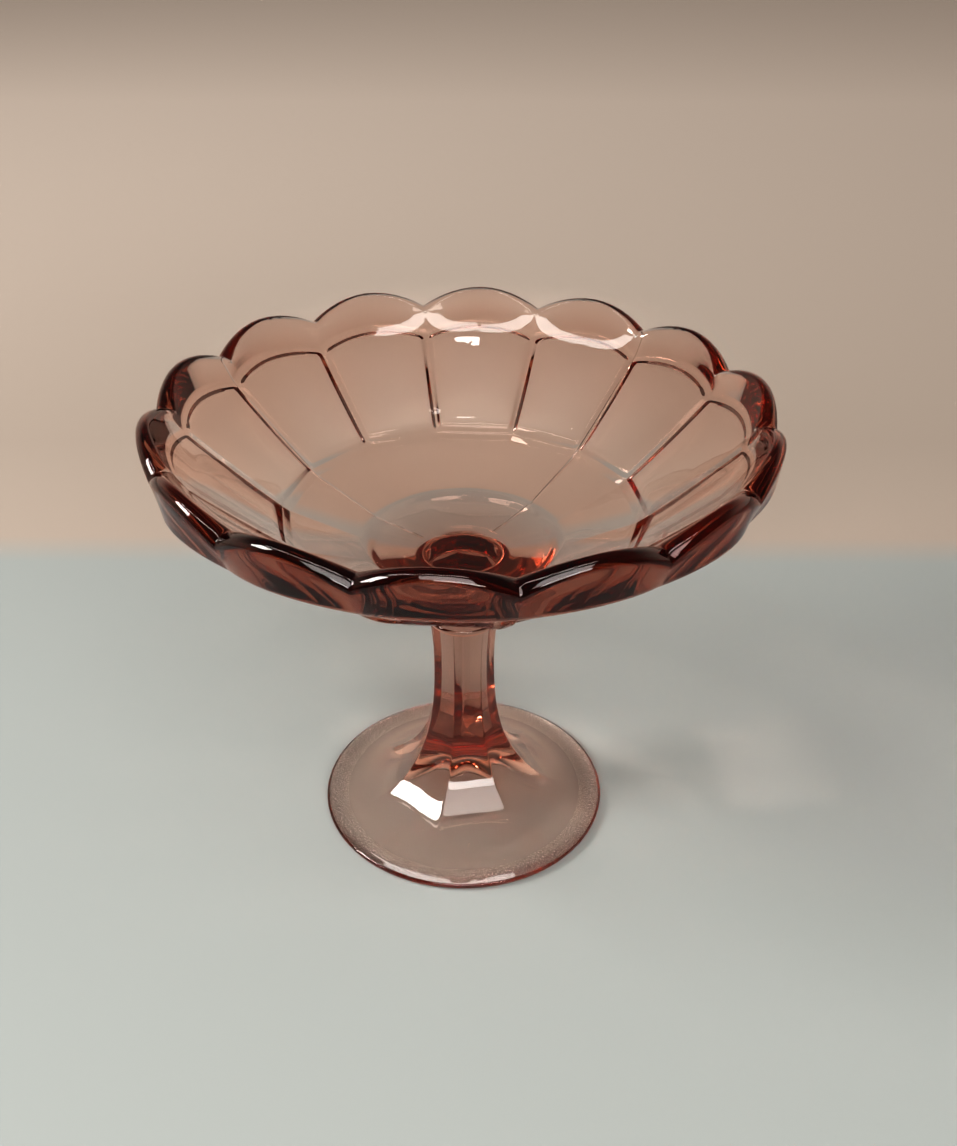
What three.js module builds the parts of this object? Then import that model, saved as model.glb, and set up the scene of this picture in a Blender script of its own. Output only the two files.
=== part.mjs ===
// A footed bowl of pressed pink glass, in millimetres, +Z up, standing on z = 0 with its axis on Z.
// A fourteen-petal bowl is welded by a thin wafer of glass to a seven-sided pedestal.
// One notch of the rim and one flat of the stem face -Y, so the part is its own mirror image in X.
import * as THREE from 'three';

// Heights that stack up from the table.
const PEDESTAL_HEIGHT = 83.5;
const WAFER_THICKNESS = 3;
const BOWL_HEIGHT = 83.5;

// Bowl rim: petals between notches. A drop is measured down from the crest, a taper is radial.
const PETALS = 14;
const RIM_DIAMETER = 210;
const NOTCH_INSET = 1.8;
const NOTCH_DROP = 6.2;
const LIP_THICKNESS = 4.8;
const PETAL_LIP_DEPTH = 16;
const PETAL_LIP_TAPER = 1.5;
const NOTCH_LIP_DEPTH = 12.8;
const NOTCH_LIP_TAPER = 3.7;

// Bowl inside: a flat well, a floor sloping out to a ring, the wall, then a steeper lip above a shoulder.
// Depths are below the petal crest.
const WELL_RADIUS = 34;
const WELL_DEPTH = 52;
const RING_RADIUS = 61;
const RING_DEPTH = 41;
const SHOULDER_RADIUS = 92;
const SHOULDER_DEPTH = 11.6;

// Bowl outside: fluted panels between ridges end at a ledge below the ring.
const PANEL_FOOT_OUTSET = 3.5;
const PANEL_FOOT_DROP = 4.9;
const RIDGE_SAG = 0.9;
const FLUTE_SAG = 0.2;
const LEDGE_WIDTH = 2.4;
const FLOOR_THICKNESS = 7;

// Bowl underside: a shallow step under the well, then a sloping plate turning down into a solid neck.
const STEP_WIDTH = 3.5;
const STEP_DROP = 1.6;
const PLATE_DROP = 4.2;
const NECK_RADIUS = 12.6;
const NECK_TURN_WIDTH = 4.4;
const NECK_TURN_DROP = 6.4;

// Wafer.
const WAFER_OVERHANG = 0.4;

// Pedestal: a waisted solid stem with flats, flaring into a round foot.
const STEM_SIDES = 7;
const STEM_TOP_INSET = 0.1;
const WAIST_RADIUS = 11.4;
const WAIST_DROP = 17.5;
const STEM_STRAIGHT = 26;
const FLARE_RADIUS = 40;
const FLARE_FOOT_HEIGHT = 6;
const FLARE_PULL_OUT = 2.6;
const FLARE_PULL_UP = 9;
const FACET_FADE_START = 32;
const FOOT_DIAMETER = 107.4;
const FOOT_EDGE_THICKNESS = 4.4;
const REST_RING_WIDTH = 6;

// Hollow under the foot: a bell drawn from its domed top out to the rest ring.
const HOLLOW_HEIGHT = 19;
const HOLLOW_DOME_RADIUS = 10;
const HOLLOW_BELL_RADIUS = 26;
const HOLLOW_BELL_HEIGHT = 1;

// Glass, as plain colours for the solids.
const BOWL_COLOUR = 0xb5897a;
const WAFER_COLOUR = 0xa97565;
const PEDESTAL_COLOUR = 0xb07f70;
const POLISH_ROUGHNESS = 0.05;

// Facets of the meshes.
const STEPS_PER_PETAL = 6;
const STEPS_PER_FLAT = 8;
const WAFER_SIDES = 48;
const CURVE_STEPS = 6;
const STEM_CURVE_STEPS = 10;

const FRONT = -Math.PI / 2;
const CREST_TURN = 0.8 * Math.PI;
const { lerp, smoothstep } = THREE.MathUtils;
const point = (radius, height) => new THREE.Vector2(radius, height);

const waferBase = PEDESTAL_HEIGHT;
const bowlBase = waferBase + WAFER_THICKNESS;
const petalCrest = bowlBase + BOWL_HEIGHT;

// Place of an angle within its sector, from -1 to 1, with sector edges counted from the front.
function acrossSector(angle, sectors) {
  const turns = ((angle - FRONT) / (2 * Math.PI)) * sectors;
  return 2 * (turns - Math.floor(turns)) - 1;
}

// Points along a curve without its first point, to follow on from the piece of outline before it.
function onwards(curve, steps) {
  return curve.getPoints(steps).slice(1);
}

// Part of a circle over a rounded edge.
function rounded(centre, radius, from, to) {
  const arc = new THREE.EllipseCurve(centre.x, centre.y, radius, radius, from, to);
  return onwards(arc, CURVE_STEPS);
}

// A sagging wall between two points, as a quadratic curve bowed down and out by the given sag.
function saggingWall(from, to, sag) {
  const along = to.clone().sub(from).normalize();
  const bow = point(Math.abs(along.y), -Math.abs(along.x)).multiplyScalar(2 * sag);
  const control = from.clone().lerp(to, 0.5).add(bow);
  return onwards(new THREE.QuadraticBezierCurve(from, control, to), CURVE_STEPS);
}

// A solid turned about Z from an outline that may change with the angle, with as many points at each angle.
function turned(outlineAt, columns) {
  const geometry = new THREE.LatheGeometry(outlineAt(0), columns);
  const position = geometry.attributes.position;
  const rows = position.count / (columns + 1);
  for (let column = 0; column <= columns; column += 1) {
    const angle = (column / columns) * 2 * Math.PI;
    outlineAt(angle).forEach((spot, row) => {
      const x = spot.x * Math.cos(angle);
      const y = spot.x * Math.sin(angle);
      position.setXYZ(column * rows + row, x, y, spot.y);
    });
  }
  geometry.computeVertexNormals();
  return geometry;
}

// Bowl outline at one angle: up the outside from the neck, over the crest and down the inside.
function bowlOutline(angle) {
  const across = acrossSector(angle, PETALS);
  const bulge = 1 - across * across;
  const flatness = 1 - bulge * (1 - Math.cos(Math.PI / PETALS));
  const crest = petalCrest - lerp(NOTCH_DROP, 0, bulge);
  const rimRadius = RIM_DIAMETER / 2 - lerp(NOTCH_INSET, 0, bulge);
  const lipFoot = point(
    rimRadius - lerp(NOTCH_LIP_TAPER, PETAL_LIP_TAPER, bulge),
    crest - lerp(NOTCH_LIP_DEPTH, PETAL_LIP_DEPTH, bulge),
  );
  const shoulder = point(SHOULDER_RADIUS, petalCrest - SHOULDER_DEPTH);
  const ring = point(RING_RADIUS, petalCrest - RING_DEPTH);
  const well = point(WELL_RADIUS, petalCrest - WELL_DEPTH);
  const panelFoot = point((RING_RADIUS + PANEL_FOOT_OUTSET) * flatness, ring.y - PANEL_FOOT_DROP);
  const ledgeFoot = point(panelFoot.x - LEDGE_WIDTH, ring.y - FLOOR_THICKNESS);
  const stepTop = point(WELL_RADIUS, well.y - FLOOR_THICKNESS);
  const plateEdge = point(WELL_RADIUS - STEP_WIDTH, stepTop.y - STEP_DROP);
  const neckTurn = point(NECK_RADIUS + NECK_TURN_WIDTH, plateEdge.y - PLATE_DROP);
  const plateSlope = PLATE_DROP / (plateEdge.x - neckTurn.x);
  const neckBend = new THREE.QuadraticBezierCurve(
    point(NECK_RADIUS, neckTurn.y - NECK_TURN_DROP),
    point(NECK_RADIUS, neckTurn.y - NECK_TURN_WIDTH * plateSlope),
    neckTurn,
  );
  const lipCentre = point(rimRadius - LIP_THICKNESS / 2, crest - LIP_THICKNESS / 2);
  return [
    point(0, bowlBase),
    point(NECK_RADIUS, bowlBase),
    ...neckBend.getPoints(CURVE_STEPS),
    plateEdge,
    stepTop,
    ledgeFoot,
    panelFoot,
    ...saggingWall(panelFoot, lipFoot, lerp(RIDGE_SAG, FLUTE_SAG, bulge)),
    point(rimRadius, lipCentre.y),
    ...rounded(lipCentre, LIP_THICKNESS / 2, 0, CREST_TURN),
    shoulder,
    ring,
    well,
    point(0, well.y),
  ];
}

// Wafer outline: a flat pad with a half-round edge.
function waferOutline() {
  const edge = WAFER_THICKNESS / 2;
  const edgeCentre = point(NECK_RADIUS + WAFER_OVERHANG - edge, waferBase + edge);
  return [
    point(0, waferBase),
    point(edgeCentre.x, waferBase),
    ...rounded(edgeCentre, edge, -Math.PI / 2, Math.PI / 2),
    point(0, bowlBase),
  ];
}

// Pedestal outline at one angle. The corner outline is drawn in to the flats, which fade out on the foot.
function pedestalOutline(angle) {
  const offFlat = (acrossSector(angle + Math.PI / STEM_SIDES, STEM_SIDES) * Math.PI) / STEM_SIDES;
  const flatInset = 1 - Math.cos(Math.PI / STEM_SIDES) / Math.cos(offFlat);
  const edge = FOOT_EDGE_THICKNESS / 2;
  const edgeCentre = point(FOOT_DIAMETER / 2 - edge, edge);
  const restInside = edgeCentre.x - REST_RING_WIDTH;
  const waist = point(WAIST_RADIUS, PEDESTAL_HEIGHT - WAIST_DROP);
  const stemTop = point(NECK_RADIUS - STEM_TOP_INSET, PEDESTAL_HEIGHT);
  const flareFoot = point(FLARE_RADIUS, FLARE_FOOT_HEIGHT);
  const hollow = new THREE.CubicBezierCurve(
    point(0, HOLLOW_HEIGHT),
    point(HOLLOW_DOME_RADIUS, HOLLOW_HEIGHT),
    point(HOLLOW_BELL_RADIUS, HOLLOW_BELL_HEIGHT),
    point(restInside, 0),
  );
  const flare = new THREE.CubicBezierCurve(
    flareFoot,
    point(WAIST_RADIUS + FLARE_PULL_OUT, FLARE_FOOT_HEIGHT + FLARE_PULL_UP),
    point(WAIST_RADIUS, waist.y - STEM_STRAIGHT),
    waist,
  );
  const neckPull = point(WAIST_RADIUS, lerp(waist.y, stemTop.y, 0.5));
  const neck = new THREE.QuadraticBezierCurve(waist, neckPull, stemTop);
  const faceted = (spot) => {
    const fade = 1 - smoothstep(spot.x, FACET_FADE_START, FLARE_RADIUS);
    return point(spot.x * (1 - flatInset * fade), spot.y);
  };
  const stem = [flareFoot, ...onwards(flare, STEM_CURVE_STEPS), ...onwards(neck, CURVE_STEPS)];
  return [
    ...hollow.getPoints(STEM_CURVE_STEPS),
    point(edgeCentre.x, 0),
    ...rounded(edgeCentre, edge, -Math.PI / 2, Math.PI / 2),
    ...stem.map(faceted),
    point(0, PEDESTAL_HEIGHT),
  ];
}

function glassPiece(name, geometry, colour) {
  const finish = { color: colour, roughness: POLISH_ROUGHNESS, metalness: 0 };
  const material = new THREE.MeshStandardMaterial(finish);
  const mesh = new THREE.Mesh(geometry, material);
  mesh.name = name;
  return mesh;
}

const footedBowl = new THREE.Group();
footedBowl.name = 'footed_bowl';
footedBowl.add(
  glassPiece('bowl', turned(bowlOutline, PETALS * STEPS_PER_PETAL), BOWL_COLOUR),
  glassPiece('joining_wafer', turned(waferOutline, WAFER_SIDES), WAFER_COLOUR),
  glassPiece('pedestal', turned(pedestalOutline, STEM_SIDES * STEPS_PER_FLAT), PEDESTAL_COLOUR),
);

export default footedBowl;
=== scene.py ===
import math

import bpy
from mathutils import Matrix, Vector
from mathutils.geometry import intersect_line_line_2d


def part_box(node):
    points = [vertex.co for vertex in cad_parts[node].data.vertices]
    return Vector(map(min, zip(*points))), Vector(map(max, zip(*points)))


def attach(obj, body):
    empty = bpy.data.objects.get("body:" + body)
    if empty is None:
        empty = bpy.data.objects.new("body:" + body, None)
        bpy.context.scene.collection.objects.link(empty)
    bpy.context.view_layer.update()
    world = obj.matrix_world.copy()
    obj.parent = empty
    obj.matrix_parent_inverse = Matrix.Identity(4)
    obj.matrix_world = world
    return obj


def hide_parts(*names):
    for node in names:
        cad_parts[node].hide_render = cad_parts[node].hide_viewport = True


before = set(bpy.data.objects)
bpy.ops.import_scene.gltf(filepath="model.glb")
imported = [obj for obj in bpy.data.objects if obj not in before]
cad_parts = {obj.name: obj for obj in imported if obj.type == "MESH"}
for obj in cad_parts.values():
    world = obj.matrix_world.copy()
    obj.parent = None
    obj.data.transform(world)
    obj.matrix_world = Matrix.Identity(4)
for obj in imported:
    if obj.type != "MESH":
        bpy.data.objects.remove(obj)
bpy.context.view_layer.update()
mm = 0.001
fullTurn = 2 * math.pi
front = -math.pi / 2  # a rim notch and a flat of the stem face this way
roundAxis = {"center": (0, 0, 0), "axis": (0, 0, 1)}  # every spin goes round the part's axis
capShare = 0.6  # a flat end has one more ring at this share of its radius
print("frame loaded")


def deselectAll():
    if bpy.context.mode != "OBJECT":
        bpy.ops.object.mode_set(mode="OBJECT")
    bpy.ops.object.select_all(action="DESELECT")


def makeActive(piece):
    deselectAll()
    piece.select_set(True)
    bpy.context.view_layer.objects.active = piece


def editAll(piece):
    makeActive(piece)
    bpy.ops.object.mode_set(mode="EDIT")
    bpy.ops.mesh.select_all(action="SELECT")


def applyModifier(piece, name, kind, **settings):
    makeActive(piece)
    modifier = piece.modifiers.new(name, kind)
    for setting, value in settings.items():
        setattr(modifier, setting, value)
    bpy.ops.object.modifier_apply(modifier=modifier.name)


def rampUp(value, start, width):
    return min(max((value - start) / width, 0), 1)


# Outlines are lists of spots: radius and height in millimetres.
# What ends in To gives the points after its start, so that it follows on from the last one
def spot(radius, height):
    return Vector((radius, height))


def evenShares(steps):
    return [step / steps for step in range(1, steps + 1)]


def lineTo(start, end, steps):
    return [start.lerp(end, share) for share in evenShares(steps)]


def pullThrough(start, pull, end, shares):
    return [start * (1 - s) ** 2 + pull * 2 * s * (1 - s) + end * s ** 2 for s in shares]


def bendTo(start, pull, end, steps):
    return pullThrough(start, pull, end, evenShares(steps))


def sweepTo(start, pullOut, pullIn, end, steps):
    return [start * (1 - s) ** 3 + pullOut * 3 * s * (1 - s) ** 2
            + pullIn * 3 * s ** 2 * (1 - s) + end * s ** 3 for s in evenShares(steps)]


def sagTo(start, end, sag, shares):
    # a wall bowed down and out, with points at the given shares of its length
    along = (end - start).normalized()
    pull = (start + end) / 2 + Vector((abs(along.y), -abs(along.x))) * 2 * sag
    return pullThrough(start, pull, end, shares)


def arcTo(centre, radius, fromAngle, toAngle, steps):
    angles = [fromAngle + (toAngle - fromAngle) * step / steps for step in range(1, steps + 1)]
    return [centre + radius * Vector((math.cos(a), math.sin(a))) for a in angles]


def softCorner(before, corner, after, size, steps):
    start = corner + (before - corner).normalized() * size
    end = corner + (after - corner).normalized() * size
    return [start] + bendTo(start, corner, end, steps)


def drawOutline(name, outline):
    # a small plane is merged to one vertex, which is then pulled along the outline
    deselectAll()
    bpy.ops.mesh.primitive_plane_add(size=mm)
    sheet = bpy.context.object
    sheet.name = name
    bpy.ops.object.mode_set(mode="EDIT")
    bpy.context.tool_settings.mesh_select_mode = (True, False, False)
    bpy.ops.mesh.merge(type="CENTER")
    placed = [Vector((p.x * math.cos(front), p.x * math.sin(front), p.y)) * mm for p in outline]
    bpy.ops.transform.translate(value=placed[0])
    for before, after in zip(placed, placed[1:]):
        bpy.ops.mesh.extrude_region_move(TRANSFORM_OT_translate={"value": after - before})
    return sheet


def spinSector(name, outline, turns):
    # the outline is spun from one angle to the next, with close steps where a crease needs them
    sheet = drawOutline(name, outline)
    bpy.ops.mesh.select_all(action="SELECT")
    for before, after in zip(turns, turns[1:]):
        bpy.ops.mesh.spin(steps=1, angle=after - before, **roundAxis)
    bpy.ops.object.mode_set(mode="OBJECT")
    return sheet


def closeRound(piece, sectors):
    # copies of the sector are spun round the axis and merged into one closed shell
    copies = sectors - 1
    mergeWithin = 0.002 * mm
    editAll(piece)
    bpy.ops.mesh.spin(steps=copies, dupli=True, angle=fullTurn / sectors * copies, **roundAxis)
    bpy.ops.mesh.select_all(action="SELECT")
    bpy.ops.mesh.remove_doubles(threshold=mergeWithin)
    bpy.ops.mesh.normals_make_consistent(inside=False)
    bpy.ops.object.mode_set(mode="OBJECT")


def angleOf(vertex):
    return (math.atan2(vertex.co.y, vertex.co.x) - front) % fullTurn


def blendSector(base, target, weightAt):
    # the base sheet takes on the target's shape, more or less at each angle
    weightDigits = 5
    makeActive(base)
    target.select_set(True)
    bpy.ops.object.join_shapes()
    group = base.vertex_groups.new(name="blend")
    byWeight = {}
    for vertex in base.data.vertices:
        weight = round(weightAt(angleOf(vertex)), weightDigits)
        byWeight.setdefault(weight, []).append(vertex.index)
    for weight, indices in byWeight.items():
        group.add(indices, weight, "REPLACE")
    key = base.data.shape_keys.key_blocks[-1]
    key.vertex_group = group.name
    key.value = 1
    makeActive(base)
    base.active_shape_key_index = 1
    bpy.ops.object.shape_key_remove(all=True, apply_mix=True)
    base.vertex_groups.clear()
    bpy.data.objects.remove(target)


def sectorTurns(sector, edgeShares):
    # angles over one sector, close together at both of its edges
    half = sector / 2
    rising = [half * share for share in edgeShares]
    return rising + [sector - turn for turn in reversed(rising[:-1])]


def edgeDistance(angle, sector, softness):
    # 0 at a sector's edge and 1 in its middle, rounded off at the edge
    share = 1 - abs(2 * ((angle / sector) % 1) - 1)
    return math.hypot(share, softness) - softness


# Nodes that the glass, the floor and the room share
def rampNode(tree, source, low, high, fromValue=0, toValue=1):
    node = tree.nodes.new("ShaderNodeMapRange")
    limits = {"From Min": low, "From Max": high, "To Min": fromValue, "To Max": toValue}
    for socket, value in limits.items():
        node.inputs[socket].default_value = value
    tree.links.new(source, node.inputs["Value"])
    return node.outputs["Result"]


def mixNode(tree, share, first, second):
    # each colour is a fixed one or another node's output
    node = tree.nodes.new("ShaderNodeMix")
    node.data_type = "RGBA"
    tree.links.new(share, node.inputs["Factor"])
    for socket, colour in (("A", first), ("B", second)):
        if isinstance(colour, tuple):
            node.inputs[socket].default_value = colour
        else:
            tree.links.new(colour, node.inputs[socket])
    return node.outputs["Result"]


def splitNode(tree, source):
    node = tree.nodes.new("ShaderNodeSeparateXYZ")
    tree.links.new(source, node.inputs["Vector"])
    return node.outputs


# Pink pressed glass. Scales are noise cells to the metre, the other lengths are millimetres
glassLook = {
    "ior": 1.52,
    "absorbColour": (0.68, 0.23, 0.03, 1),
    "absorbDensity": 49,
    # slight streaks of paler and deeper glass
    "plainTint": (1, 1, 1, 1),
    "streakTint": (1.0, 0.985, 0.97, 1),
    "streakScale": 30,
    "streakDetail": 3,
    # finger smudges, from clean to smudged over this span of the noise
    "smudgeScale": 42,
    "smudgeDetail": 6,
    "smudgeFrom": 0.52,
    "smudgeTo": 0.72,
    "smudgeRoughness": 0.02,
    # the speckled worn ring under the foot
    "wearInside": 45,
    "wearOutside": 52.5,
    "wearFade": 0.7,
    "wearHeight": 1.0,
    "wearScale": 2600,
    "wearDetail": 4,
    "wearFrom": 0.4,
    "wearTo": 0.62,
    "wearLeast": 0.1,
    "wearRoughness": 0.32,
    # fine unevenness of pressed glass
    "pressScale": 160,
    "pressDetail": 2,
    "pressDepth": 0.012,
}


def makeGlass(name):
    look = glassLook
    material = bpy.data.materials.new(name)
    material.use_nodes = True
    tree = material.node_tree
    join = tree.links.new
    shader = tree.nodes["Principled BSDF"]
    shader.inputs["Transmission Weight"].default_value = 1
    shader.inputs["IOR"].default_value = look["ior"]
    place = tree.nodes.new("ShaderNodeTexCoord").outputs["Object"]

    def noise(kind):
        node = tree.nodes.new("ShaderNodeTexNoise")
        node.inputs["Scale"].default_value = look[kind + "Scale"]
        node.inputs["Detail"].default_value = look[kind + "Detail"]
        join(place, node.inputs["Vector"])
        return node.outputs["Fac"]

    def combine(kind, first, second):
        node = tree.nodes.new("ShaderNodeMath")
        node.operation = kind
        join(first, node.inputs[0])
        join(second, node.inputs[1])
        return node.outputs["Value"]

    tint = mixNode(tree, noise("streak"), look["plainTint"], look["streakTint"])
    join(tint, shader.inputs["Base Color"])

    smudge = rampNode(tree, noise("smudge"), look["smudgeFrom"], look["smudgeTo"],
                      0, look["smudgeRoughness"])
    split = splitNode(tree, place)
    flat = tree.nodes.new("ShaderNodeCombineXYZ")
    join(split["X"], flat.inputs["X"])
    join(split["Y"], flat.inputs["Y"])
    away = tree.nodes.new("ShaderNodeVectorMath")
    away.operation = "LENGTH"
    join(flat.outputs["Vector"], away.inputs[0])
    radius = away.outputs["Value"]
    inside, outside, fade = look["wearInside"], look["wearOutside"], look["wearFade"]
    pastInside = rampNode(tree, radius, (inside - fade) * mm, inside * mm)
    withinOutside = rampNode(tree, radius, outside * mm, (outside + fade) * mm, 1, 0)
    under = rampNode(tree, split["Z"], 0, look["wearHeight"] * mm, 1, 0)
    speckle = rampNode(tree, noise("wear"), look["wearFrom"], look["wearTo"],
                       look["wearLeast"], look["wearRoughness"])
    ring = combine("MULTIPLY", pastInside, withinOutside)
    worn = combine("MULTIPLY", ring, combine("MULTIPLY", under, speckle))
    join(combine("MAXIMUM", smudge, worn), shader.inputs["Roughness"])

    press = tree.nodes.new("ShaderNodeBump")
    press.inputs["Distance"].default_value = look["pressDepth"] * mm
    join(noise("press"), press.inputs["Height"])
    join(press.outputs["Normal"], shader.inputs["Normal"])

    absorb = tree.nodes.new("ShaderNodeVolumeAbsorption")
    absorb.inputs["Color"].default_value = look["absorbColour"]
    absorb.inputs["Density"].default_value = look["absorbDensity"]
    join(absorb.outputs["Volume"], tree.nodes["Material Output"].inputs["Volume"])
    return material


pinkGlass = makeGlass("pinkGlass")
print("glass mixed")

# Bowl: fourteen petals, sunk panels outside, a ledge below them and a solid neck.
# Depths and drops count down from the crest, and a share runs from 0 to 1
bowlLow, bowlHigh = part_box("bowl")
bowl = {
    "petals": 14,
    "base": bowlLow.z / mm,
    "crest": bowlHigh.z / mm,
    "rimRadius": bowlHigh.x / mm,
    # rim: sizes at a notch, and in the middle of a petal
    "notchInset": 1.8,
    "notchDrop": 6.2,
    "notchSoftness": 0.02,
    "notchLip": 8.5,
    "petalLip": 4.8,
    "notchRound": 4.25,
    "petalRound": 3.4,
    "notchLipDepth": 12.8,
    "petalLipDepth": 16,
    "notchLipTaper": 3.7,
    "petalLipTaper": 1.5,
    "lipFootSoftness": 1.5,
    "crestTurn": 143,  # degrees that the lip's edge turns before it runs straight
    # inside: a shoulder below the lip, the wall, a ring and a flat well
    "shoulderRadius": 92,
    "shoulderDepth": 11.6,
    "shoulderSoftness": 6,
    "innerSag": 0.1,
    "ringRadius": 61,
    "ringDepth": 41,
    "ringSoftness": 5,
    "wellRadius": 34,
    "wellDepth": 52,
    "wellSoftness": 2,
    # outside: panels sunk between ribs, from the ledge up to an arch under the lip
    "ridgeSag": 0.9,
    "fluteSag": 0.2,
    "panelOutset": 3.5,
    "panelDrop": 4.9,
    "panelFootSoftness": 0.5,
    "panelRecess": 1.15,
    "panelMargin": 0.006,
    "footStep": 0.054,
    "archStep": 0.032,
    "archDrop": 0.5,
    "ribHalf": 0.014,
    "ribStep": 0.11,
    # underside
    "floorThickness": 7,
    "ledgeWidth": 2.4,
    "ledgeSoftness": 0.6,
    "plateRadius": 30.5,
    "plateHeight": 109.4,
    "plateSoftness": 0.8,
    "neckTurnRadius": 17,
    "neckTurnHeight": 105.2,
    "neckBendDrop": 5,
    "neckRadius": 12.6,
    "weldDepth": 0.4,
    # marks of the mould: seams at these notches, counted from the front, and faint waves
    "seamTurns": (0, 5, 9),
    "seamWidth": 0.3,
    "seamHeight": 0.4,
    "seamInside": 16,
    "rippleSize": 16,
    "rippleDepth": 0.05,
    # rows up a panel, columns from a petal's edge to its middle, and rows elsewhere
    "panelShares": (0.006, 0.018, 0.033, 0.048, 0.06, 0.12, 0.2, 0.3, 0.4, 0.5,
                    0.6, 0.7, 0.8, 0.88, 0.93, 0.962, 0.973, 0.984, 0.994, 1),
    "edgeShares": (0, 0.014, 0.036, 0.06, 0.09, 0.124, 0.16, 0.24, 0.36, 0.5, 0.66, 0.83, 1),
    "steps": {
        "neck": 10, "neckBend": 12, "plate": 8, "underside": 14, "smallCorner": 4,
        "aboveArch": 3, "lipFoot": 14, "lipFace": 5, "outerLip": 12, "innerLip": 8,
        "aboveShoulder": 8, "shoulder": 10, "innerWall": 22, "ring": 8,
        "floor": 12, "wellEdge": 6, "well": 12,
    },
}
petalAngle = fullTurn / bowl["petals"]


def bowlOutline(bulge):
    # bulge is 0 at a notch and 1 in the middle of a petal
    def between(notchSize, petalSize):
        return notchSize + (petalSize - notchSize) * bulge

    steps = bowl["steps"]
    flatness = between(1, math.cos(math.pi / bowl["petals"]))
    base = bowl["base"] - bowl["weldDepth"]
    crest = bowl["crest"] - between(bowl["notchDrop"], 0)
    rim = bowl["rimRadius"] - between(bowl["notchInset"], 0)
    lip = between(bowl["notchLip"], bowl["petalLip"])
    lipFoot = spot(rim - between(bowl["notchLipTaper"], bowl["petalLipTaper"]),
                   crest - between(bowl["notchLipDepth"], bowl["petalLipDepth"]))
    shoulder = spot(bowl["shoulderRadius"], bowl["crest"] - bowl["shoulderDepth"])
    ring = spot(bowl["ringRadius"], bowl["crest"] - bowl["ringDepth"])
    well = spot(bowl["wellRadius"], bowl["crest"] - bowl["wellDepth"])
    wellMiddle = spot(0, well.y)
    panelFoot = spot((bowl["ringRadius"] + bowl["panelOutset"]) * flatness,
                     ring.y - bowl["panelDrop"])
    ledgeFoot = spot(panelFoot.x - bowl["ledgeWidth"], ring.y - bowl["floorThickness"])
    stepTop = spot(bowl["wellRadius"], well.y - bowl["floorThickness"])
    plateEdge = spot(bowl["plateRadius"], bowl["plateHeight"])
    neckTurn = spot(bowl["neckTurnRadius"], bowl["neckTurnHeight"])
    neckFoot = spot(bowl["neckRadius"], base)
    plateSlope = (plateEdge.y - neckTurn.y) / (plateEdge.x - neckTurn.x)
    neckPull = spot(bowl["neckRadius"],
                    neckTurn.y - plateSlope * (neckTurn.x - bowl["neckRadius"]))
    neckBend = spot(bowl["neckRadius"], neckPull.y - bowl["neckBendDrop"])

    # up the neck and out under the floor
    small = steps["smallCorner"]
    plateCorner = softCorner(neckTurn, plateEdge, stepTop, bowl["plateSoftness"], small)
    stepCorner = softCorner(plateEdge, stepTop, ledgeFoot, bowl["plateSoftness"], small)
    ledgeCorner = softCorner(stepTop, ledgeFoot, panelFoot, bowl["ledgeSoftness"], small)
    panelCorner = softCorner(ledgeFoot, panelFoot, lipFoot, bowl["panelFootSoftness"], small)
    outline = [spot(0, base), spot(neckFoot.x * capShare, base), neckFoot]
    outline += lineTo(neckFoot, neckBend, steps["neck"])
    outline += bendTo(neckBend, neckPull, neckTurn, steps["neckBend"])
    outline += lineTo(neckTurn, plateCorner[0], steps["plate"]) + plateCorner[1:] + stepCorner
    outline += lineTo(stepCorner[-1], ledgeCorner[0], steps["underside"]) + ledgeCorner[1:]
    outline += panelCorner
    panelRow = len(outline)

    # up the panel to its arch, and over the lip
    outerRound = between(bowl["notchRound"], bowl["petalRound"])
    innerRound = lip - outerRound
    outerCentre = spot(rim - outerRound, crest - outerRound)
    innerCentre = spot(rim - outerRound, crest - innerRound)
    lipFace = spot(rim, outerCentre.y)
    lipCorner = softCorner(panelFoot, lipFoot, lipFace, bowl["lipFootSoftness"], steps["lipFoot"])
    archTop = lipCorner[0] + (panelFoot - lipFoot).normalized() * bowl["archDrop"]
    wallSag = between(bowl["ridgeSag"], bowl["fluteSag"])
    crestTurn = math.radians(bowl["crestTurn"])
    outline += sagTo(panelCorner[-1], archTop, wallSag, bowl["panelShares"])
    outline += lineTo(archTop, lipCorner[0], steps["aboveArch"]) + lipCorner[1:]
    outline += lineTo(lipCorner[-1], lipFace, steps["lipFace"])
    outline += arcTo(outerCentre, outerRound, 0, math.pi / 2, steps["outerLip"])
    outline += arcTo(innerCentre, innerRound, math.pi / 2, crestTurn, steps["innerLip"])

    # down the inside to the middle of the well
    innerLip = outline[-1]
    shoulderCorner = softCorner(innerLip, shoulder, ring,
                                bowl["shoulderSoftness"], steps["shoulder"])
    ringCorner = softCorner(shoulder, ring, well, bowl["ringSoftness"], steps["ring"])
    wellCorner = softCorner(ring, well, wellMiddle, bowl["wellSoftness"], steps["wellEdge"])
    innerWall = sagTo(ringCorner[0], shoulderCorner[-1], bowl["innerSag"],
                      evenShares(steps["innerWall"]))
    outline += lineTo(innerLip, shoulderCorner[0], steps["aboveShoulder"]) + shoulderCorner[1:]
    outline += innerWall[-2::-1] + ringCorner  # drawn upwards, so taken from the top
    outline += lineTo(ringCorner[-1], wellCorner[0], steps["floor"]) + wellCorner[1:]
    outline += lineTo(wellCorner[-1], wellMiddle, steps["well"])
    return outline, panelRow


def petalBulge(angle):
    apart = 1 - edgeDistance(angle, petalAngle, bowl["notchSoftness"])
    return 1 - apart * apart


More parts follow.
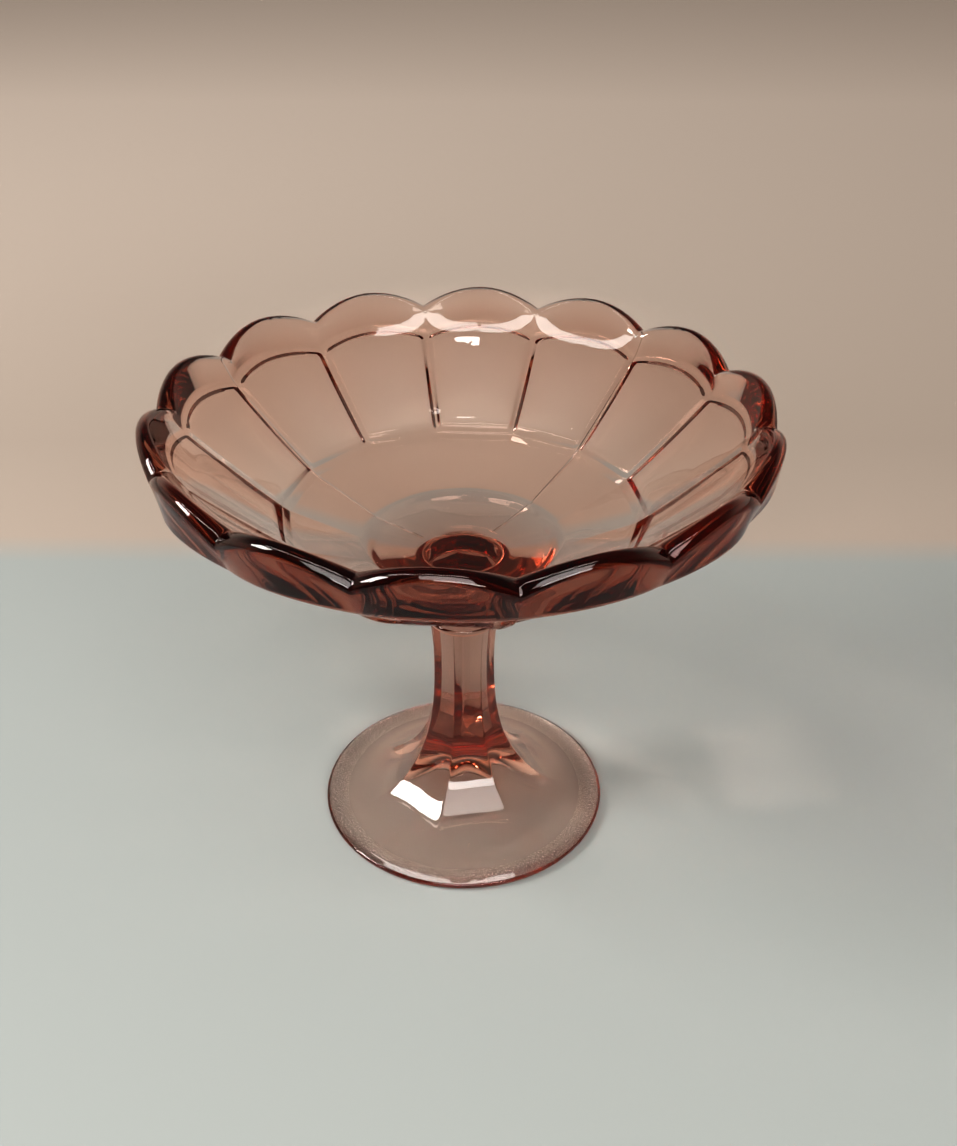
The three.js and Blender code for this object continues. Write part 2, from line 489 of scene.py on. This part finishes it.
def markPanels(piece, notchOutline, petalOutline, panelRow):
    # weights are 1 inside a panel and 0 on the ribs, the lip and the ledge round it
    closeBy = 0.01  # millimetres from a panel's row
    group = piece.vertex_groups.new(name="panels")
    rows = list(zip(bowl["panelShares"], notchOutline[panelRow:], petalOutline[panelRow:]))
    for vertex in piece.data.vertices:
        place = spot(math.hypot(vertex.co.x, vertex.co.y), vertex.co.z) / mm
        angle = angleOf(vertex)
        offRib = rampUp(edgeDistance(angle, petalAngle, 0), bowl["ribHalf"], bowl["ribStep"])
        for share, notchSpot, petalSpot in rows:
            expected = notchSpot.lerp(petalSpot, petalBulge(angle))
            if (expected - place).length < closeBy:
                offFoot = rampUp(share, bowl["panelMargin"], bowl["footStep"])
                offArch = rampUp(1 - share, bowl["panelMargin"], bowl["archStep"])
                group.add([vertex.index], offRib * offFoot * offArch, "REPLACE")


def pushOut(piece, group, height):
    # what the group marks moves out along its normals, or in where the height is negative
    applyModifier(piece, group, "DISPLACE", vertex_group=group, strength=height * mm, mid_level=0)
    piece.vertex_groups.clear()


def markSeams(piece):
    # thin fins of glass where the three parts of the mould met, along notches on the outside
    half = bowl["petals"] / 2
    group = piece.vertex_groups.new(name="seams")
    for vertex in piece.data.vertices:
        radius = math.hypot(vertex.co.x, vertex.co.y)
        turn = angleOf(vertex) / petalAngle
        turnsOff = min(abs((turn - seam + half) % bowl["petals"] - half)
                       for seam in bowl["seamTurns"])
        onSeam = turnsOff * petalAngle * radius < bowl["seamWidth"] * mm
        if onSeam and vertex.normal.z < 0 and radius > bowl["seamInside"] * mm:
            group.add([vertex.index], 1, "REPLACE")


def rippleSurface(piece, name):
    # faint waves left by the press and the fire polish
    waves = bpy.data.textures.new(name, "CLOUDS")
    waves.noise_scale = bowl["rippleSize"] * mm
    applyModifier(piece, name, "DISPLACE", texture=waves, texture_coords="LOCAL",
                  strength=bowl["rippleDepth"] * mm, mid_level=0.5)


bowlTurns = sectorTurns(petalAngle, bowl["edgeShares"])
notchOutline, panelRow = bowlOutline(0)
petalOutline, panelRow = bowlOutline(1)
footedBowl = spinSector("footedBowl", notchOutline, bowlTurns)
petalSheet = spinSector("petalSheet", petalOutline, bowlTurns)
blendSector(footedBowl, petalSheet, petalBulge)
markPanels(footedBowl, notchOutline, petalOutline, panelRow)
closeRound(footedBowl, bowl["petals"])
pushOut(footedBowl, "panels", -bowl["panelRecess"])
markSeams(footedBowl)
pushOut(footedBowl, "seams", bowl["seamHeight"])
rippleSurface(footedBowl, "pressRipple")
print("bowl pressed,", len(footedBowl.data.polygons), "faces")

# Wafer: the pad of hot glass that joined bowl and stem
waferLow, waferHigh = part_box("joining_wafer")
wafer = {
    "low": waferLow.z / mm,
    "high": waferHigh.z / mm,
    "radius": waferHigh.x / mm,
    "sectors": 8,
    "columns": 96,
    "edgeSteps": 16,
}


def waferOutline():
    low, high = wafer["low"], wafer["high"]
    edge = (high - low) / 2
    centre = spot(wafer["radius"] - edge, low + edge)
    outline = [spot(0, low), spot(centre.x * capShare, low), spot(centre.x, low)]
    outline += arcTo(centre, edge, -math.pi / 2, math.pi / 2, wafer["edgeSteps"])
    return outline + [spot(centre.x * capShare, high), spot(0, high)]


sectorColumns = wafer["columns"] // wafer["sectors"]
waferTurns = [fullTurn * column / wafer["columns"] for column in range(sectorColumns + 1)]
waferGlass = spinSector("waferGlass", waferOutline(), waferTurns)
closeRound(waferGlass, wafer["sectors"])
print("wafer pressed,", len(waferGlass.data.polygons), "faces")

# Pedestal: a seven-sided stem flaring into a round foot, hollow below
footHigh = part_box("pedestal")[1]
pedestal = {
    "flats": 7,
    "height": footHigh.z / mm,
    "footRadius": footHigh.x / mm,
    # stem: the flats fade out on the flare
    "topRadius": 12.5,
    "waistRadius": 11.4,
    "waistDrop": 17.5,
    "stemStraight": 26,
    "flareRadius": 40,
    "flareFootHeight": 6,
    "flarePullOut": 2.6,
    "flarePullUp": 9,
    "facetFadeStart": 32,
    "cornerSoftness": 0.05,
    "weldDepth": 0.4,
    # foot: rounded below, bevelled above
    "edgeThickness": 4.4,
    "restRingWidth": 6,
    "bevelSlope": 31,
    "bevelRise": 0.5,
    "bevelFootSoftness": 0.4,
    "bevelTopSoftness": 0.8,
    # hollow under the foot
    "hollowHeight": 19,
    "hollowTopRadius": 10,
    "hollowPullRadius": 26,
    "hollowPullHeight": 1,
    # columns from a corner of the stem to the middle of a flat, and rows
    "edgeShares": (0, 0.02, 0.045, 0.08, 0.14, 0.24, 0.38, 0.56, 0.78, 1),
    "steps": {
        "hollow": 36, "restRing": 5, "edge": 8, "bevelFoot": 5, "bevel": 4, "bevelTop": 6,
        "footTop": 8, "flare": 48, "stemTop": 14,
    },
}
flatAngle = fullTurn / pedestal["flats"]


def pedestalOutline(flatShare):
    # flatShare is 0 along a corner of the stem and 1 along the middle of a flat
    steps = pedestal["steps"]
    edge = pedestal["edgeThickness"] / 2
    edgeCentre = spot(pedestal["footRadius"] - edge, edge)
    restInside = spot(edgeCentre.x - pedestal["restRingWidth"], 0)
    restOutside = spot(edgeCentre.x, 0)
    top = pedestal["height"] + pedestal["weldDepth"]
    stemTop = spot(pedestal["topRadius"], top)
    waist = spot(pedestal["waistRadius"], pedestal["height"] - pedestal["waistDrop"])
    flareFoot = spot(pedestal["flareRadius"], pedestal["flareFootHeight"])
    flareOut = spot(waist.x + pedestal["flarePullOut"], flareFoot.y + pedestal["flarePullUp"])
    flareIn = spot(waist.x, waist.y - pedestal["stemStraight"])
    stemPull = spot(waist.x, (waist.y + top) / 2)
    hollowTop = spot(0, pedestal["hollowHeight"])
    hollowIn = spot(pedestal["hollowTopRadius"], pedestal["hollowHeight"])
    hollowOut = spot(pedestal["hollowPullRadius"], pedestal["hollowPullHeight"])
    inset = (1 - math.cos(math.pi / pedestal["flats"])) * flatShare
    fadeStart = pedestal["facetFadeStart"]

    def faceted(point):
        share = rampUp(point.x, fadeStart, flareFoot.x - fadeStart)
        return spot(point.x * (1 - inset * (1 - share * share * (3 - 2 * share))), point.y)

    # out along the hollow and the ring that it stands on
    outline = [hollowTop] + sweepTo(hollowTop, hollowIn, hollowOut, restInside, steps["hollow"])
    outline += lineTo(restInside, restOutside, steps["restRing"])
    outline += arcTo(edgeCentre, edge, -math.pi / 2, 0, steps["edge"])

    # in over the bevel, which ends where it meets the foot's top
    footTop = edgeCentre + spot(0, edge)
    bevelFoot = outline[-1] + spot(0, pedestal["bevelRise"])
    slope = math.radians(pedestal["bevelSlope"])
    bevelWay = spot(-math.cos(slope), math.sin(slope)) * pedestal["footRadius"]
    bevelTop = intersect_line_line_2d(bevelFoot, bevelFoot + bevelWay, footTop, flareFoot)
    footCorner = softCorner(outline[-1], bevelFoot, bevelTop,
                            pedestal["bevelFootSoftness"], steps["bevelFoot"])
    topCorner = softCorner(bevelFoot, bevelTop, flareFoot,
                           pedestal["bevelTopSoftness"], steps["bevelTop"])
    outline += footCorner + lineTo(footCorner[-1], topCorner[0], steps["bevel"]) + topCorner[1:]

    # up the flare and the stem
    stem = lineTo(topCorner[-1], flareFoot, steps["footTop"])
    stem += sweepTo(flareFoot, flareOut, flareIn, waist, steps["flare"])
    stem += bendTo(waist, stemPull, stemTop, steps["stemTop"])
    outline += [faceted(point) for point in stem]
    return outline + [spot(outline[-1].x * capShare, top), spot(0, top)]


def flatWeight(angle):
    # flats lie halfway between corners, straight from one corner to the next
    apart = 1 - edgeDistance(angle, flatAngle, pedestal["cornerSoftness"])
    turn = apart * math.pi / pedestal["flats"]
    nearest = math.cos(math.pi / pedestal["flats"])
    return (1 - nearest / math.cos(turn)) / (1 - nearest)


pedestalTurns = sectorTurns(flatAngle, pedestal["edgeShares"])
pedestalGlass = spinSector("pedestalGlass", pedestalOutline(0), pedestalTurns)
flatSheet = spinSector("flatSheet", pedestalOutline(1), pedestalTurns)
blendSector(pedestalGlass, flatSheet, flatWeight)
closeRound(pedestalGlass, pedestal["flats"])
editAll(pedestalGlass)  # half a flat round, so that a flat's middle faces front
bpy.ops.transform.rotate(value=flatAngle / 2, orient_axis="Z", center_override=(0, 0, 0))
bpy.ops.object.mode_set(mode="OBJECT")
print("pedestal pressed,", len(pedestalGlass.data.polygons), "faces")


def weldTo(piece, other):
    # hot glass runs together, so no face is left inside the joint
    applyModifier(piece, "weld", "BOOLEAN", operation="UNION", solver="EXACT", object=other)
    bpy.data.objects.remove(other)


# The whole footed bowl: one body of glass, smooth but for folds sharper than this
smoothAngle = math.radians(40)
weldTo(footedBowl, waferGlass)
weldTo(footedBowl, pedestalGlass)
makeActive(footedBowl)
bpy.ops.object.shade_smooth_by_angle(angle=smoothAngle)
footedBowl.data.materials.clear()
footedBowl.data.materials.append(pinkGlass)
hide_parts("bowl", "joining_wafer", "pedestal")
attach(footedBowl, "root")
print("footed bowl welded,", len(footedBowl.data.polygons), "faces")

# Floor: grey-green near the bowl, beige beyond a line across it, paler far back. In metres
floorLook = {
    "size": 8,
    "gap": 0.05 * mm,
    "roughness": 0.7,
    "nearColour": (0.318, 0.338, 0.328, 1),
    "farColour": (0.395, 0.332, 0.283, 1),
    "lineAt": 0.18,
    "lineSoftness": 0.012,
    "lineTurn": 9.35,
    "deepColour": (0.74, 0.64, 0.56, 1),
    "deepFrom": 0.3,
    "deepTo": 1.1,
}


def makeFloorFinish(name):
    material = bpy.data.materials.new(name)
    material.use_nodes = True
    tree = material.node_tree
    shader = tree.nodes["Principled BSDF"]
    shader.inputs["Roughness"].default_value = floorLook["roughness"]
    place = tree.nodes.new("ShaderNodeTexCoord")
    turn = tree.nodes.new("ShaderNodeMapping")
    turn.inputs["Rotation"].default_value[2] = math.radians(floorLook["lineTurn"])
    tree.links.new(place.outputs["Object"], turn.inputs["Vector"])
    back = splitNode(tree, turn.outputs["Vector"])["Y"]
    line, softness = floorLook["lineAt"], floorLook["lineSoftness"]
    pastLine = rampNode(tree, back, line - softness, line + softness)
    deep = rampNode(tree, back, floorLook["deepFrom"], floorLook["deepTo"])
    tone = mixNode(tree, pastLine, floorLook["nearColour"], floorLook["farColour"])
    tone = mixNode(tree, deep, tone, floorLook["deepColour"])
    tree.links.new(tone, shader.inputs["Base Color"])
    return material


deselectAll()
bpy.ops.mesh.primitive_plane_add(size=floorLook["size"], location=(0, 0, -floorLook["gap"]))
floor = bpy.context.object
floor.name = "floor"
floor.data.materials.append(makeFloorFinish("paleFloor"))
print("floor laid")

# Lamps in metres, watts and degrees. One that isn't aimed at the bowl faces straight down
lampLook = {
    "windowLight": {"place": (-1.3, 0.03, 0.98), "size": (0.55, 0.5), "power": 15, "aimed": True},
    "frontLight": {"place": (-0.1, -1.25, 1.15), "size": (1.4, 0.9), "power": 17, "aimed": True},
    "lowLight": {"place": (0.1, -1.6, 0.66), "size": (1.2, 0.25), "power": 9.5, "aimed": True},
    # strips overhead, end to end, that the shoulder at the back mirrors as one band
    "rightStrip": {"place": (0.19, -0.6, 1.6), "size": (0.84, 0.14), "power": 2.5, "turn": 3},
    "middleStrip": {"place": (-0.425, -0.505, 1.6), "size": (0.43, 0.14), "power": 1.3,
                    "turn": -23.5},
    "leftStrip": {"place": (-0.8, -0.265, 1.6), "size": (0.48, 0.14), "power": 1.5, "turn": -41},
    "farStrip": {"place": (-1.14, 0.12, 1.6), "size": (0.56, 0.14), "power": 1.7, "turn": -55},
    "smallLamp": {"place": (-0.104, -0.455, 1.6), "size": (0.19, 0.03), "power": 0.2, "turn": -7,
                  "shape": "ELLIPSE"},
    # a narrow beam on the floor that the bowl shades
    "backWash": {"place": (0.06, 0.37, 1.2), "size": (0.12, 0.12), "power": 0.1, "spread": 14},
}
lampColour = (1.0, 0.985, 0.96)
aimAt = Vector((0, 0, 0.09))
fullSpread = 180

for name, look in lampLook.items():
    deselectAll()
    bpy.ops.object.light_add(type="AREA", location=look["place"])
    lamp = bpy.context.object
    lamp.name = name
    lamp.data.shape = look.get("shape", "RECTANGLE")
    lamp.data.size, lamp.data.size_y = look["size"]
    lamp.data.energy = look["power"]
    lamp.data.color = lampColour
    lamp.data.spread = math.radians(look.get("spread", fullSpread))
    if look.get("aimed"):
        lamp.rotation_euler = (aimAt - lamp.location).to_track_quat("-Z", "Y").to_euler()
    lamp.rotation_euler.rotate_axis("Z", math.radians(look.get("turn", 0)))
print(len(lampLook), "lamps hung")

# Room: warm and bright near the horizon at the back, darker in front and overhead.
# The spans are parts of a direction of length 1
roomLook = {
    "horizon": (0.62, 0.51, 0.43, 1),
    "front": (0.12, 0.105, 0.09, 1),
    "overhead": (0.13, 0.125, 0.12, 1),
    "strength": 1,
    "backFrom": -0.3,
    "backTo": 0.2,
    "riseFrom": 0.25,
    "riseTo": 0.6,
}


def makeRoom(name):
    room = bpy.data.worlds.new(name)
    room.use_nodes = True
    tree = room.node_tree
    glow = tree.nodes["Background"]
    glow.inputs["Strength"].default_value = roomLook["strength"]
    way = splitNode(tree, tree.nodes.new("ShaderNodeTexCoord").outputs["Generated"])
    back = rampNode(tree, way["Y"], roomLook["backFrom"], roomLook["backTo"])
    rise = rampNode(tree, way["Z"], roomLook["riseFrom"], roomLook["riseTo"])
    tone = mixNode(tree, back, roomLook["front"], roomLook["horizon"])
    tone = mixNode(tree, rise, tone, roomLook["overhead"])
    tree.links.new(tone, glow.inputs["Color"])
    return room


# Light passes through many walls of glass, so it gets many bounces
viewLook = {"exposure": 0.03, "look": "High Contrast", "bounces": 96}
scene = bpy.context.scene
scene.world = makeRoom("room")
scene.view_settings.view_transform = "Standard"
scene.view_settings.look = viewLook["look"]
scene.view_settings.exposure = viewLook["exposure"]
scene.cycles.max_bounces = viewLook["bounces"]
scene.cycles.transmission_bounces = viewLook["bounces"]
scene.cycles.glossy_bounces = viewLook["bounces"]
scene.cycles.blur_glossy = 0
print("room lit")

# Camera at the photograph's viewing angle
cameraView = {
    "place": (-0.05906, -0.39274, 0.36028),
    "tilt": 57.027,
    "roll": 0.182,
    "turn": -9.349,
    "focalPixels": 1335.25,
    "longSide": 1146,  # of the picture, in pixels
    "sensorWidth": 36,
    "clipStart": 0.01,
}
deselectAll()
bpy.ops.object.camera_add(location=cameraView["place"])
camera = bpy.context.object
camera.name = "camera"
camera.data.sensor_width = cameraView["sensorWidth"]
camera.data.lens = cameraView["focalPixels"] * camera.data.sensor_width / cameraView["longSide"]
camera.data.clip_start = cameraView["clipStart"]
camera.rotation_euler = (math.radians(cameraView["tilt"]), 0, math.radians(cameraView["turn"]))
camera.rotation_euler.rotate_axis("Z", math.radians(cameraView["roll"]))
bpy.context.scene.camera = camera
print("camera placed")
